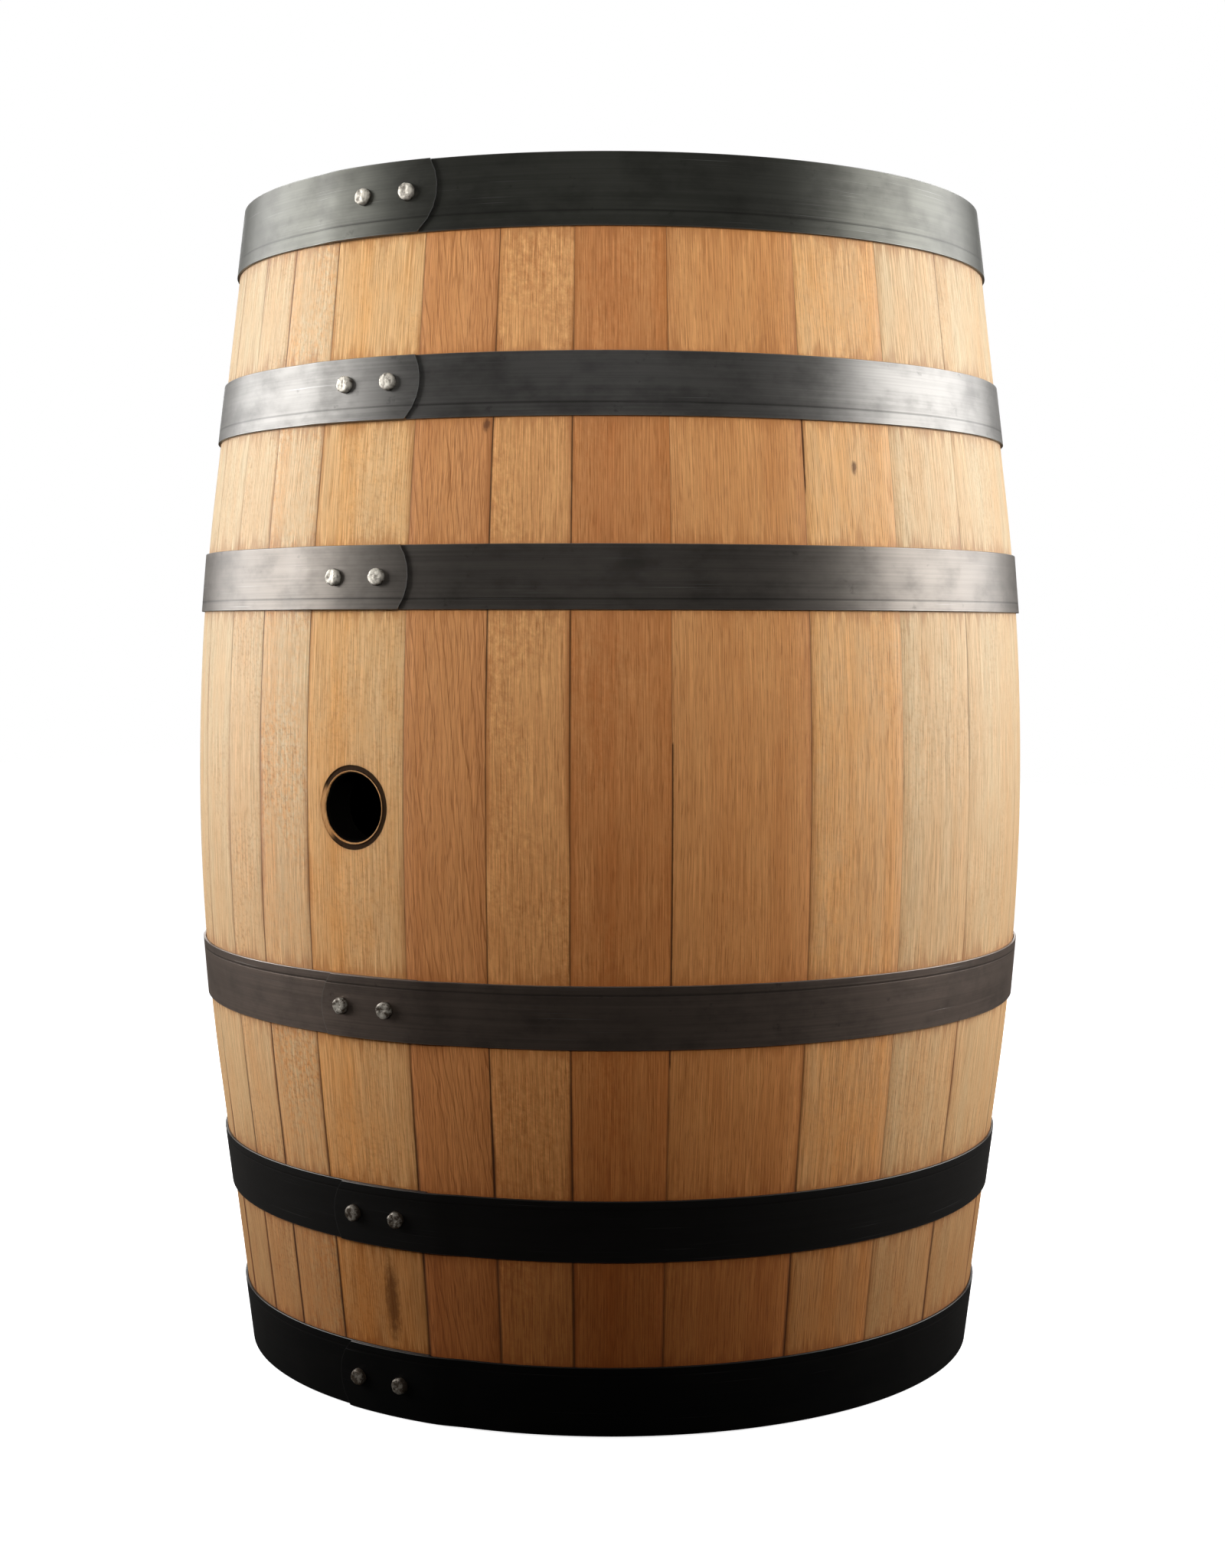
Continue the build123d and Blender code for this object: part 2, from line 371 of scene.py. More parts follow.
def newMaterial(name):
    made = bpy.data.materials.new(name)
    made.use_nodes = True
    tree = made.node_tree
    return made, tree, tree.nodes["Principled BSDF"]


def attribute(tree, name, output="Vector"):
    node = tree.nodes.new("ShaderNodeAttribute")
    node.attribute_name = name
    return Field(tree, node.outputs[output])


def objectPlace(tree):
    return Field(tree, tree.nodes.new("ShaderNodeTexCoord").outputs["Object"])


def addBump(tree, shader, height, distance, strength=1.0):
    bump = tree.nodes.new("ShaderNodeBump")
    bump.inputs["Strength"].default_value = strength
    bump.inputs["Distance"].default_value = distance
    plug(tree, height, bump.inputs["Height"])
    tree.links.new(bump.outputs[0], shader.inputs["Normal"])


def scorchHole(tree, colour, rough, depth, hole):
    # scorch stain round the hole, the ring scribed about it, and the bore, drawn near-black as
    # part char and part painted shade
    place = objectPlace(tree)
    x, y, z = place.xyz()
    across, up = x, z - hole["height"]
    radius = (across * across + up * up).do("SQRT")
    uneven = (noise(tree, place, scale=55.0, detail=3) - 0.5) * hole["unevenness"]
    outside = depth.ramp(0.0005, 0.003, 1.0, 0.0)
    scorch = (radius + uneven * 1.6).ramp(*hole["scorch"])
    colour = blendColours(tree, scorch * outside * 0.6, colour, oak["stain"])
    # the ring is worn away on one side
    worn = hole["wornSide"]
    towardsWorn = (across * worn[0] + up * worn[1]) / radius
    present = towardsWorn.ramp(0.70, 0.90, 1.0, 0.1)
    fromRing = (radius + uneven * 0.6).do("SUBTRACT", hole["ringRadius"]).do("ABSOLUTE")
    ring = fromRing.ramp(*hole["ringEdge"], 1.0, 0.0)
    colour = blendColours(tree, ring * present * outside * 0.96, colour, hole["ringColour"])
    mouth = hole["mouth"]
    # the bore is painted near-black: partly char, partly painted shade inside the hole
    charAndShadeInBore = (radius + uneven * 0.5).ramp(mouth, mouth + 0.0006, 1.0, 0.0)
    colour = blendColours(tree, charAndShadeInBore, colour, hole["boreCharAndShade"])
    return colour, rough * (1 - charAndShadeInBore) + charAndShadeInBore


def oakMaterial(name, look, sides, hole=None):
    made, tree, shader = newMaterial(name)
    place = attribute(tree, "grain")
    depth = place.xyz()[1]
    grain = useGroup(tree, oakGroup, {"Place": place, **look})
    stain = useGroup(tree, stainAndShadeGroup, {
        "Colour": grain["Colour"], "Place": place, "Gap": attribute(tree, "jointGap", "Fac"),
        "Seed": look["Seed"], **sides, **blemishes.get(name, {}),
    })
    # the inside is toasted over a fire, and the colour fades out into the end grain
    burn = noise(tree, place, scale=60.0, detail=3)
    toasted = (depth + burn * 0.006).ramp(oak["toastFrom"], oak["toastFull"])
    burnt = blendColours(tree, burn, oak["toast"], oak["char"])
    colour = blendColours(tree, toasted, stain["Colour"], burnt)
    rough = grain["Roughness"]
    if hole:
        colour, rough = scorchHole(tree, colour, rough, depth, hole)
    setFinish(tree, shader, colour, rough)
    shader.inputs["Specular IOR Level"].default_value = hole["gloss"] if hole else oak["gloss"]
    addBump(tree, shader, grain["Height"], oak["bump"], oak["bumpStrength"])
    return made


steel = {
    "worn": (0.42, 0.42, 0.41),
    "grime": (0.022, 0.020, 0.018),
    "roughness": 0.40,
    "metallic": 0.85,
    "bump": 0.00018,
    "bumpStrength": 0.6,
    # scale along, through and across the strip, then detail and roughness of the noise
    "patterns": {
        "brushed": (5, 1, 620, 3, 0.6),
        "long": (1.6, 1, 170, 2, 0.5),
        "scratch": (9, 1, 1500, 1, 0.5),
        "scuffed": (6, 1, 30, 2, 0.5),
        "clouds": (22, 1, 40, 4, 0.6),
        "blotch": (60, 1, 75, 4, 0.65),
        "wander": (3, 1, 1, 1, 0.5),
        "dents": (15, 1, 9, 1, 0.5),
    },
}


def buildSteelGroup():
    # rolled strip: Strip is along, through and across it, in metres
    tree, ins, end = newTree(
        "rolledSteel",
        "ShaderNodeTree",
        [
            ("Strip", "Vector", None),
            ("Colour", "Color", (0.16, 0.16, 0.16, 1)),
            ("Seed", "Float", 0.0),
            ("Scratches", "Float", 0.5),
            ("Half Width", "Float", 0.024),
            ("Crease", "Float", -0.015),
            ("Tip Gap", "Float", 1.0),
        ],
        [("Colour", "Color"), ("Roughness", "Float"), ("Height", "Float")],
    )
    x, y, z = ins["Strip"].xyz()
    seed, kinds = ins["Seed"], steel["patterns"]
    brushed = pattern(tree, (x, 0.0, z), seed, kinds["brushed"])
    long = pattern(tree, (x, 3.0, z), seed, kinds["long"])
    scratch = pattern(tree, (x, 7.0, z), seed, kinds["scratch"]).ramp(0.66, 0.78)
    scuffed = pattern(tree, (x, 11.0, z), seed, kinds["scuffed"], seeded=1).ramp(0.46, 0.62)
    scratch = scratch * scuffed
    clouds = pattern(tree, (x, y, z), seed, kinds["clouds"])
    blotch = pattern(tree, (x, y + 5.0, z), seed, kinds["blotch"]).ramp(0.62, 0.74)
    # a crease from the rolls runs round the strip
    wander = (pattern(tree, (x, 0.0, 0.0), seed, kinds["wander"]) - 0.5) * 0.0012
    crease = (z - ins["Crease"] + wander).do("ABSOLUTE").ramp(0.0003, 0.0011, 1.0, 0.0)
    dents = pattern(tree, (x, 2.0, z), seed, kinds["dents"])
    # bare metal shows along the edges and round the tip
    toEdge = (ins["Half Width"] - z.do("ABSOLUTE")).do("MINIMUM", ins["Tip Gap"])
    edge = (toEdge + (clouds - 0.5) * 0.0006).ramp(0.0002, 0.0009, 1.0, 0.0)
    streak = (brushed * 0.6 + long * 0.4).ramp(0.35, 0.65)
    dull = blendColours(tree, 0.24, ins["Colour"], steel["grime"])
    colour = blendColours(tree, streak, dull, ins["Colour"])
    colour = blendColours(tree, clouds.ramp(0.4, 0.75) * 0.4, colour, steel["grime"])
    colour = blendColours(tree, blotch * 0.4, colour, steel["grime"])
    colour = blendColours(tree, crease * 0.45, colour, steel["grime"])
    colour = blendColours(tree, scratch * ins["Scratches"], colour, steel["worn"])
    colour = blendColours(tree, edge * ins["Scratches"] * 0.45, colour, steel["worn"])
    rough = clouds * 0.12 + brushed * 0.06 + (steel["roughness"] - 0.10)
    relief = brushed * 0.14 + long * 0.2 - scratch * 0.25 - crease * 0.7
    plug(tree, colour, end.inputs["Colour"])
    plug(tree, rough, end.inputs["Roughness"])
    plug(tree, relief + clouds * 0.15 + dents * 7.0, end.inputs["Height"])
    return tree


def steelMaterial(name, look):
    made, tree, shader = newMaterial(name)
    finish = useGroup(tree, steelGroup, {
        "Strip": attribute(tree, "strip"), "Tip Gap": attribute(tree, "tipGap", "Fac"), **look,
    })
    setFinish(tree, shader, finish["Colour"], finish["Roughness"])
    shader.inputs["Metallic"].default_value = steel["metallic"]
    addBump(tree, shader, finish["Height"], steel["bump"], steel["bumpStrength"])
    return made


def blankMesh(name, points, faces):
    mesh = bpy.data.meshes.new(name)
    mesh.from_pydata(points, [], faces)
    made = bpy.data.objects.new(name, mesh)
    scene.collection.objects.link(made)
    return made


def growPiece(blank, tree, values):
    # runs the tree on the blank, and keeps the result as a plain mesh
    modifier = blank.modifiers.new(tree.name, "NODES")
    modifier.node_group = tree
    for item in tree.interface.items_tree:
        if item.in_out == "INPUT" and item.name in values:
            modifier[item.identifier] = values[item.name]
    bpy.context.view_layer.update()
    evaluated = blank.evaluated_get(bpy.context.evaluated_depsgraph_get())
    mesh = bpy.data.meshes.new_from_object(evaluated)
    mesh.name = blank.name
    blank.modifiers.remove(modifier)
    blank.data = mesh
    work = bmesh.new()
    work.from_mesh(mesh)
    bmesh.ops.recalc_face_normals(work, faces=work.faces)
    work.to_mesh(mesh)
    work.free()


def store(tree, geometry, name, value, kind="FLOAT"):
    node = tree.nodes.new("GeometryNodeStoreNamedAttribute")
    node.data_type, node.domain = kind, "POINT"
    node.inputs["Name"].default_value = name
    tree.links.new(geometry, node.inputs["Geometry"])
    plug(tree, value, node.inputs["Value"])
    return node.outputs[0]


def finishTree(tree, geometry, material, end, crisp=0.45):
    # smooth faces with crisp arrises, then the two nodes that every tree ends in
    angle = tree.nodes.new("GeometryNodeInputMeshEdgeAngle")
    sharp = Field(tree, angle.outputs["Unsigned Angle"]).do("GREATER_THAN", crisp)
    smooth = tree.nodes.new("GeometryNodeSetShadeSmooth")
    tree.links.new(geometry, smooth.inputs["Geometry"])
    keen = tree.nodes.new("GeometryNodeSetShadeSmooth")
    keen.domain = "EDGE"
    keen.inputs["Shade Smooth"].default_value = False
    tree.links.new(smooth.outputs[0], keen.inputs["Geometry"])
    plug(tree, sharp, keen.inputs["Selection"])
    real = tree.nodes.new("GeometryNodeRealizeInstances")
    tree.links.new(keen.outputs[0], real.inputs[0])
    paint = tree.nodes.new("GeometryNodeSetMaterial")
    tree.links.new(real.outputs[0], paint.inputs["Geometry"])
    plug(tree, material, paint.inputs["Material"])
    tree.links.new(paint.outputs[0], end.inputs[0])


def setPlace(tree, geometry, place):
    node = tree.nodes.new("GeometryNodeSetPosition")
    tree.links.new(geometry, node.inputs["Geometry"])
    plug(tree, place, node.inputs["Position"])
    return node.outputs[0]


def position(tree):
    return Field(tree, tree.nodes.new("GeometryNodeInputPosition").outputs[0])


def roundBarrel(tree, angle, radius, height):
    # a place by its angle from the bung hole, distance from the axis and height
    return vector(tree, angle.do("SINE") * radius, angle.do("COSINE") * radius * -1, height)


def bridge(faces, first, second, closed=False):
    # quads between two rows of points
    count = len(first)
    for i in range(count if closed else count - 1):
        j = (i + 1) % count
        faces.append((first[i], first[j], second[j], second[i]))


stave = {
    "widths": [
        66, 62, 74, 108, 86, 85, 110, 62, 88, 71, 54, 96, 68, 77, 59,
        83, 64, 73, 92, 57, 66, 81, 58, 74, 69, 52, 63, 54, 60,
    ],
    "bungWidth": 92,
    "thickness": 0.027,
    "chimeBevel": 0.012,
    "chimeHeight": 0.024,
    "crozeHeight": 0.0445,
    "crozeWidth": 0.006,
    "crozeDepth": 0.006,
    "endChamfer": 0.002,
    "jointGap": 0.00006,
    "easeWidth": 0.0007,
    "easeDepth": 0.00028,
    "unevenness": 0.00045,
    "rowStart": 0.06,
    "rowStep": 0.0125,
    "columns": 9,
}

bung = {
    "height": 0.472,
    "mouth": 0.0262,
    "gloss": 0.04,  # low on the whole stave, so that the charred bore doesn't shine
    "boreCharAndShade": (0.003, 0.0025, 0.002),
    "scorch": (0.0275, 0.037, 0.55, 0.0),
    "unevenness": 0.0022,
    "ringRadius": 0.0297,
    "ringEdge": (0.0018, 0.0024),
    "ringColour": (0.012, 0.006, 0.004),
    "wornSide": (-0.98, -0.17),  # across and up, towards the part of the ring that is worn away
    "patch": 0.036,
    "patchCells": 12,
    "patchMargin": 0.004,
    # radius and depth of each loop from the outer skin inwards; the last two are on the inner skin
    "loops": [
        (0.0335, 0), (0.0314, 0), (0.0310, 0.0006), (0.0284, 0.0006), (0.0280, 0), (0.0271, 0),
        (0.0266, 0.0006), (0.0250, 0.0032), (0.0250, 0.0100), (0.0250, 0.0180),
        (0.0250, stave["thickness"]), (0.0290, stave["thickness"]),
    ],
}


def buildStaveTree():
    tree, ins, end = newTree(
        "bendStave",
        "GeometryNodeTree",
        [
            ("Geometry", "Geometry", None),
            ("Centre Angle", "Float", 0.0),
            ("Half Sweep", "Float", 0.1),
            ("Thickness", "Float", stave["thickness"]),
            ("Chime Bevel", "Float", stave["chimeBevel"]),
            ("Chime Height", "Float", stave["chimeHeight"]),
            ("Croze Height", "Float", stave["crozeHeight"]),
            ("Croze Width", "Float", stave["crozeWidth"]),
            ("Croze Depth", "Float", stave["crozeDepth"]),
            ("End Chamfer", "Float", stave["endChamfer"]),
            ("Joint Gap", "Float", stave["jointGap"]),
            ("Ease Width", "Float", stave["easeWidth"]),
            ("Ease Depth", "Float", stave["easeDepth"]),
            ("Unevenness", "Float", stave["unevenness"]),
            ("Seed", "Float", 0.0),
            ("Material", "Material", None),
        ],
        [("Geometry", "Geometry")],
    )
    # in the blank, x is the angle, y runs from 0 outside to 1 inside, and z is the height
    angle, depth, height = position(tree).xyz()
    rise = (height - wall["middle"]).do("ABSOLUTE")
    belly = (wall["bellyArc"] ** 2 - rise * rise).do("SQRT") + wall["bellyCentre"]
    cone = wall["kneeRadius"] - (rise - wall["kneeRise"]) * wall["slope"]
    past = rise.do("GREATER_THAN", wall["kneeRise"])
    radius = belly * (1 - past) + cone * past
    fromEnd = wall["middle"] - rise
    bevel = (1 - fromEnd / ins["Chime Height"]).do("MAXIMUM", 0.0) * ins["Chime Bevel"]
    toCroze = (fromEnd - ins["Croze Height"]).do("ABSOLUTE")
    inCroze = toCroze.do("LESS_THAN", ins["Croze Width"] * 0.5)
    thick = ins["Thickness"] - bevel - inCroze * ins["Croze Depth"]
    outerCut = (ins["End Chamfer"] - fromEnd).do("MAXIMUM", 0.0)
    gap = ((ins["Half Sweep"] - angle.do("ABSOLUTE")) * radius).do("MAXIMUM", 0.0)
    seed = ins["Seed"]
    # joint edges are eased unevenly, and the face has shallow dips
    ragged = pattern(tree, (angle.do("SIGN"), 0.0, height), seed, (3, 1, 30, 3, 0.7))
    ease = (1 - gap / ins["Ease Width"]).do("MAXIMUM", 0.0) * ins["Ease Depth"]
    ease = ease * (ragged * 1.4 - 0.1)
    dips = pattern(tree, (angle, 0.0, height), seed, (9, 1, 5, 1, 0.5))
    outerCut = outerCut + ease + dips * ins["Unevenness"]
    deep = depth * thick + (1 - depth) * outerCut
    wander = (ragged - 0.5) * ins["Joint Gap"] * 1.6 - ins["Joint Gap"]
    shut = angle + angle.do("SIGN") * wander / radius * (gap.do("LESS_THAN", 0.0001))
    turned = shut + ins["Centre Angle"]
    reach = radius - deep
    grain = vector(tree, angle * radius, depth * thick, height)
    geometry = store(tree, ins["Geometry"].socket, "grain", grain, "FLOAT_VECTOR")
    geometry = store(tree, geometry, "jointGap", gap)
    geometry = setPlace(tree, geometry, roundBarrel(tree, turned, reach, height))
    finishTree(tree, geometry, ins["Material"], end)
    return tree


def staveRows():
    # heights of the points: two rows at each wall of the croze keep its corners sharp
    low = stave["crozeHeight"] - stave["crozeWidth"] / 2
    high = stave["crozeHeight"] + stave["crozeWidth"] / 2
    nick = 0.00004
    rows = [0, stave["endChamfer"], 0.012, stave["chimeHeight"]]
    rows += [low - nick, low + nick, high - nick, high + nick]
    start = stave["rowStart"]
    count = round((tall / 2 - start) / stave["rowStep"])
    rows += [start + (tall / 2 - start) * i / count for i in range(count)]
    return rows + [tall / 2] + [tall - row for row in reversed(rows)]


def staveBlank(name, half, hole=None):
    # two skins joined along the joints and the ends; a hole is a round patch in both skins
    ease = stave["easeWidth"] / wallRadius(tall / 2)
    rows, count = staveRows(), stave["columns"]
    inner = [-half + ease + (2 * half - 2 * ease) * i / (count - 1) for i in range(count)]
    if hole:
        patch, cells, margin = hole["patch"], hole["patchCells"], hole["patchMargin"]
        lowEnd, highEnd = hole["height"] - patch, hole["height"] + patch
        rows = [row for row in rows if row < lowEnd - margin or row > highEnd + margin]
        rows = sorted(rows + [lowEnd + 2 * patch * i / cells for i in range(cells + 1)])
        turn = patch / wallRadius(hole["height"])
        inner = [-turn + 2 * turn * i / cells for i in range(cells + 1)]
        inner = [-half + ease] + inner + [half - ease]
    columns = [-half] + inner + [half]
    points, faces, skins = [], [], []
    for depth in (0.0, 1.0):
        skin = []
        for row in rows:
            skin.append(list(range(len(points), len(points) + len(columns))))
            points += [(column, depth, row) for column in columns]
        skins.append(skin)
    if hole:
        first = min(i for i, row in enumerate(rows) if row > lowEnd - 1e-6)
        last = first + cells
        left, right = 2, 2 + cells
    for depth, skin in enumerate(skins):
        for i in range(len(rows) - 1):
            for j in range(len(columns) - 1):
                if hole and first <= i < last and left <= j < right:
                    continue
                quad = (skin[i][j], skin[i][j + 1], skin[i + 1][j + 1], skin[i + 1][j])
                faces.append(quad if depth == 0 else quad[::-1])
    outside, inside = skins
    for edge in (0, -1):
        bridge(faces, [row[edge] for row in outside], [row[edge] for row in inside])
        bridge(faces, outside[edge], inside[edge])
    if hole:
        rims = []
        for skin in skins:
            rim = [skin[first][j] for j in range(left, right)]
            rim += [skin[i][right] for i in range(first, last)]
            rim += [skin[last][j] for j in range(right, left, -1)]
            rim += [skin[i][left] for i in range(last, first, -1)]
            rims.append(rim)
        thick, away = stave["thickness"], wallRadius(hole["height"])
        previous = rims[0]
        for radius, deep in hole["loops"]:
            loop = []
            for corner in rims[0]:
                column, _, row = points[corner]
                turn = atan2(row - hole["height"], column * away)
                sweep = asin(radius * cos(turn) / (away - deep))
                loop.append(len(points))
                points.append((sweep, deep / thick, hole["height"] + radius * sin(turn)))
            bridge(faces, previous, loop, closed=True)
            previous = loop
        bridge(faces, previous, rims[1], closed=True)
    return blankMesh(name, points, faces)


# the staves that stand out; the others are drawn by the dice
lookLabels = ("Tone", "Redness", "Wave", "Rings", "Ring Spacing", "Pores", "Flecks", "Mottle")
# the staves at both sides, under the side lamps, get pale cream tones that are partly their own
# wood and partly painted highlight
staveLooks = {
    "bung_stave": (0.30, 0.0, 0.010, 0.12, 0.0050, 0.28, 0.25, 0.15),
    "stave_01": (0.62, 0.55, 0.030, 0.62, 0.0048, 0.50, 0.10, 0.14),
    "stave_02": (0.60, 0.08, 0.010, 0.18, 0.0036, 0.42, 0.30, 0.75),
    "stave_03": (0.84, 0.05, 0.006, 0.18, 0.0026, 0.45, 0.10, 0.22),
    "stave_04": (0.70, 0.05, 0.006, 0.14, 0.0026, 0.42, 0.10, 0.15),
    "stave_05": (0.33, 0.03, 0.008, 0.12, 0.0028, 0.36, 0.15, 0.15),
    "stave_06": (0.12, 0.00, 0.008, 0.10, 0.0034, 0.30, 0.20, 0.15),
    "stave_07": (0.08, 0.00, 0.010, 0.10, 0.0038, 0.28, 0.20, 0.15),
    "stave_08": (0.06, 0.00, 0.010, 0.12, 0.0040, 0.28, 0.20, 0.15),
    "stave_09": (0.10, 0.00, 0.012, 0.16, 0.0044, 0.32, 0.25, 0.20),
    "stave_29": (0.20, 0.00, 0.012, 0.14, 0.0050, 0.38, 0.50, 0.95),
    "stave_28": (0.14, 0.00, 0.010, 0.12, 0.0045, 0.30, 0.40, 0.30),
    "stave_27": (0.05, 0.00, 0.010, 0.10, 0.0045, 0.28, 0.25, 0.15),
    "stave_26": (0.04, 0.00, 0.010, 0.12, 0.0045, 0.28, 0.25, 0.15),
    "stave_25": (0.12, 0.00, 0.012, 0.16, 0.0042, 0.32, 0.30, 0.20),
}
# how dark the joint on the left of a stave is
usualJoint = 0.6
joints = {
    "stave_28": 0.5, "stave_29": 0.9, "bung_stave": 0.7, "stave_01": 0.5,
    "stave_02": 1.0, "stave_03": 0.9, "stave_04": 0.3, "stave_05": 0.45,
    "stave_06": 0.15, "stave_07": 0.45, "stave_08": 0.3,
}
# a split along the joint on the stave's left, or one mark
blemishes = {
    "bung_stave_oak": {
        "Mark Place": (0.011, 0, 0.094), "Mark Size": (0.008, 1, 0.040), "Mark Strength": 0.7,
    },
    "stave_01_oak": {
        "Mark Place": (0.026, 0, 0.752), "Mark Size": (0.0035, 1, 0.006), "Mark Strength": 0.8,
    },
    "stave_04_oak": {"Crack Low": 0.28, "Crack High": 0.525},
    "stave_05_oak": {
        "Crack Low": 0.70, "Crack High": 0.762,
        "Mark Place": (0.004, 0, 0.724), "Mark Size": (0.003, 1, 0.006), "Mark Strength": 0.8,
    },
}

hoopNames = [
    "top_chime", "top_quarter", "top_bilge", "bottom_bilge", "bottom_quarter", "bottom_chime",
]
hoop = {
    "thickness": 0.002,
    "lapTail": 0.046,
    "rampAngle": 6.0,
    "tipArc": 0.040,
    "rivetSpacing": 0.0405,
    "edgeRound": 0.0003,
    "lapGap": 0.00004,
    "wobble": 0.00012,
    # rows along the strip: the ones after rowShare are closer, where it climbs over its start
    "rows": 250,
    "rowShare": 0.94,
    "lapRows": 60,
    "bands": {"chime": 0.0545, "quarter": 0.0475, "bilge": 0.0475},
    # side the tip points to, rivet to tip, rise of the tip and of the rivets, shift along the hoop
    "laps": {
        "top_chime": (1, 0.0245, 0.004, 0.003, 0.005),
        "top_quarter": (1, 0.0260, 0.004, 0.004, 0.0005),
        "top_bilge": (1, 0.0255, 0.0, 0.0, 0.002),
        "bottom_bilge": (-1, 0.0210, -0.004, 0.0, 0.008),
        "bottom_quarter": (-1, 0.0210, -0.004, 0.0, 0.004),
        "bottom_chime": (-1, 0.0210, -0.004, 0.0, -0.005),
    },
    # Colour, Scratches, Crease; the bottom two hoops get near-black colours and few scratches as
    # painted shade, where the light falls off towards the floor
    "looksWithShade": {
        "top_chime": ((0.10, 0.10, 0.086), 0.6, -0.016),
        "top_quarter": ((0.20, 0.192, 0.18), 0.6, -0.014),
        "top_bilge": ((0.165, 0.146, 0.128), 0.6, -0.016),
        "bottom_bilge": ((0.26, 0.20, 0.165), 0.6, 0.017),
        "bottom_quarter": ((0.036, 0.034, 0.033), 0.25, 0.017),
        "bottom_chime": ((0.014, 0.014, 0.014), 0.2, 0.021),
    },
}


def hoopHeight(name):
    # middle of the strip's single layer; the box takes in the second layer, at the lap
    low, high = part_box(name + "_hoop")
    middle = (low.z + high.z) / 2
    return middle - sin(wallTilt(middle)) * (hoop["thickness"] + wall["hoopPlay"])


def hoopWidth(name):
    return hoop["bands"][name.split("_")[1]]


oakGroup = buildOakGroup()
stainAndShadeGroup = buildStainAndShadeGroup([(hoopHeight(name), hoopWidth(name) / 2) for name in hoopNames])
steelGroup = buildSteelGroup()
staveTree = buildStaveTree()


def makeStaves():
    dice = Random(7)
    girth = sum(stave["widths"]) + stave["bungWidth"]
    names = ["bung_stave"] + ["stave_%02d" % (i + 1) for i in range(len(stave["widths"]))]
    start = -stave["bungWidth"] / 2
    for name, width in zip(names, [stave["bungWidth"]] + stave["widths"]):
        chance = (
            dice.uniform(0.2, 0.8),
            dice.choice((0, 0, 0.1, 0.6)),
            dice.uniform(0.006, 0.02),
            dice.uniform(0.12, 0.5),
            dice.uniform(0.0028, 0.0058),
            dice.uniform(0.3, 0.6),
            dice.uniform(0.05, 0.7),
            dice.uniform(0.05, 0.4),
        )
        seed = dice.uniform(0, 90)
        look = dict(zip(lookLabels, staveLooks.get(name, chance)))
        look["Seed"] = seed
        following = names[(names.index(name) + 1) % len(names)]
        sides = {
            "Left Joint": joints.get(name, usualJoint),
            "Right Joint": joints.get(following, usualJoint),
        }
        half = pi * width / girth
        centre = 2 * pi * (start + width / 2) / girth
        start += width
        hole = bung if name == "bung_stave" else None
        piece = staveBlank(name + "_oak", half, hole)
        growPiece(piece, staveTree, {
            "Centre Angle": centre, "Half Sweep": half, "Seed": seed,
            "Material": oakMaterial(name + "_oak", look, sides, hole),
        })
        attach(piece, "root")
        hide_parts(name)
    print("staves made:", len(names))


def buildHoopTree():
    tree, ins, end = newTree(
        "wrapHoop",
        "GeometryNodeTree",
        [
            ("Geometry", "Geometry", None),
            ("Start Angle", "Float", 0.0),
            ("Side", "Float", 1.0),
            ("Radius", "Float", 0.34),
            ("Height", "Float", 0.5),
            ("Tilt", "Float", 0.0),
            ("Play", "Float", wall["hoopPlay"]),
            ("Lift", "Float", hoop["thickness"]),
            ("Lap Length", "Float", 0.09),
            ("Ramp", "Float", radians(hoop["rampAngle"])),
            ("Tip Arc", "Float", hoop["tipArc"]),
            ("Tip Rise", "Float", 0.0),
            ("Wobble", "Float", hoop["wobble"]),
            ("Seed", "Float", 0.0),
            ("Material", "Material", None),
        ],
        [("Geometry", "Geometry")],
    )
    # in the blank, x runs from 0 to 1 along the strip, y is its thickness and z its width
    along, deep, across = position(tree).xyz()
    rise = across - ins["Tip Rise"]
    cut = ins["Tip Arc"] - (ins["Tip Arc"] * ins["Tip Arc"] - rise * rise).do("SQRT")
    whole = (ins["Lap Length"] - cut) / ins["Radius"] + 2 * pi
    travel = along * whole
    # over its own start the strip lies a hair above the first layer
    climb = (travel - (2 * pi - ins["Ramp"])).ramp(0.0, ins["Ramp"])
    lift = climb * (ins["Lift"] + hoop["lapGap"])
    sway = pattern(tree, (travel, 0.0, 0.0), ins["Seed"], (4, 1, 1, 1, 0.5)) - 0.5
    out = ins["Play"] + deep + lift
    cosTilt, sinTilt = ins["Tilt"].do("COSINE"), ins["Tilt"].do("SINE")
    reach = ins["Radius"] + out * cosTilt - across * sinTilt
    up = ins["Height"] + across * cosTilt + out * sinTilt + sway * ins["Wobble"]
    turned = ins["Start Angle"] + ins["Side"] * travel
    flat = vector(tree, travel * ins["Radius"], deep, across)
    geometry = store(tree, ins["Geometry"].socket, "strip", flat, "FLOAT_VECTOR")
    geometry = store(tree, geometry, "tipGap", (whole - travel) * ins["Radius"])
    geometry = setPlace(tree, geometry, roundBarrel(tree, turned, reach, up))
    finishTree(tree, geometry, ins["Material"], end)
    return tree


